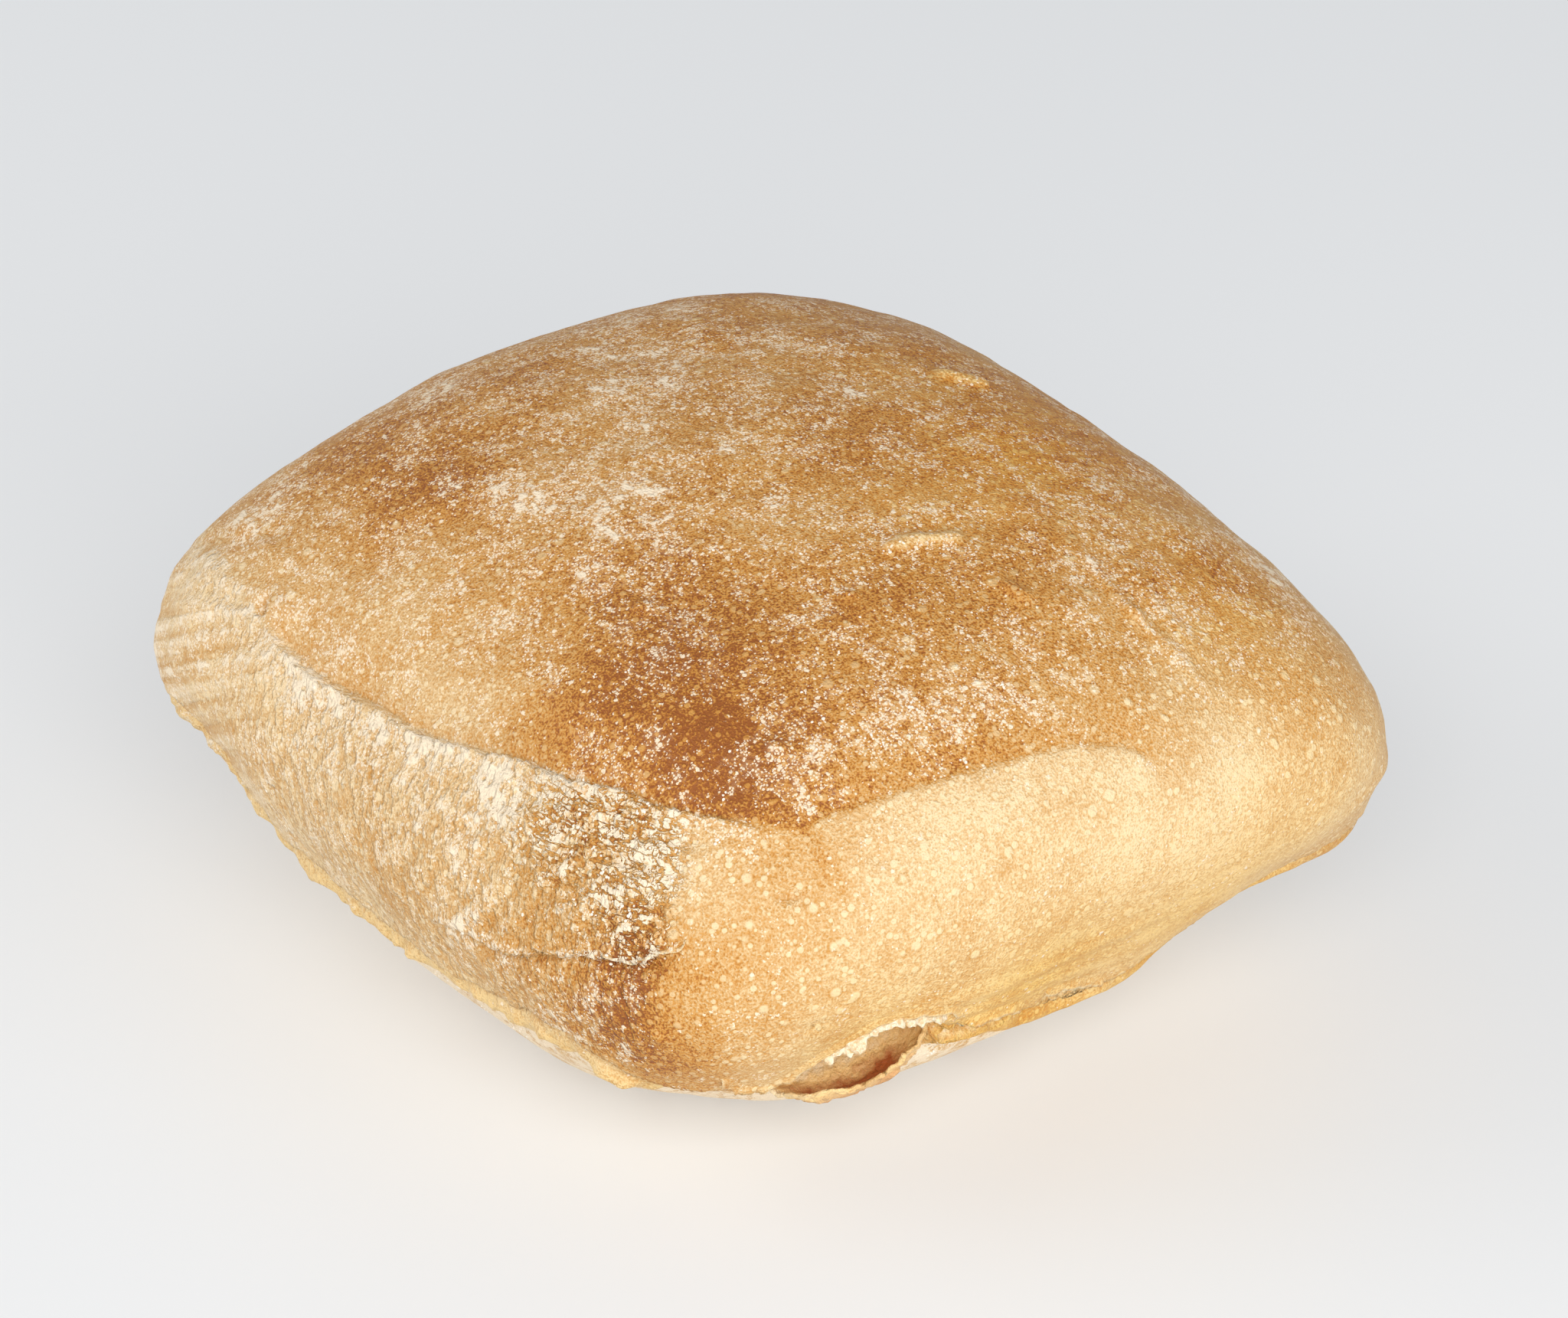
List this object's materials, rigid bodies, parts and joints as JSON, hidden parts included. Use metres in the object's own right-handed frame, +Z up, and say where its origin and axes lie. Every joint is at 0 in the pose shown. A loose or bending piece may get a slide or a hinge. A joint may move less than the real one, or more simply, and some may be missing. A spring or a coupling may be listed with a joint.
{
  "type": "bread roll",
  "caption": "Square hand-cut ciabatta roll with a domed crust, a folded front edge and a pinched base seam.",
  "frame": {"origin": "centre of the bounding box's underside, where the roll rests", "axes": "+Z up through the crown, -Y out of the cut and floured front side, +X out of the side with the pale patch and the burst blister"},
  "size_m": [0.0949, 0.0894, 0.0504],
  "materials": {
    "baked_crust": "baked wheat crust, dry and lightly floured, with a soft sheen on its browned corners"
  },
  "bodies": {
    "root": {"bread_roll": "baked_crust"}
  },
  "joints": []
}
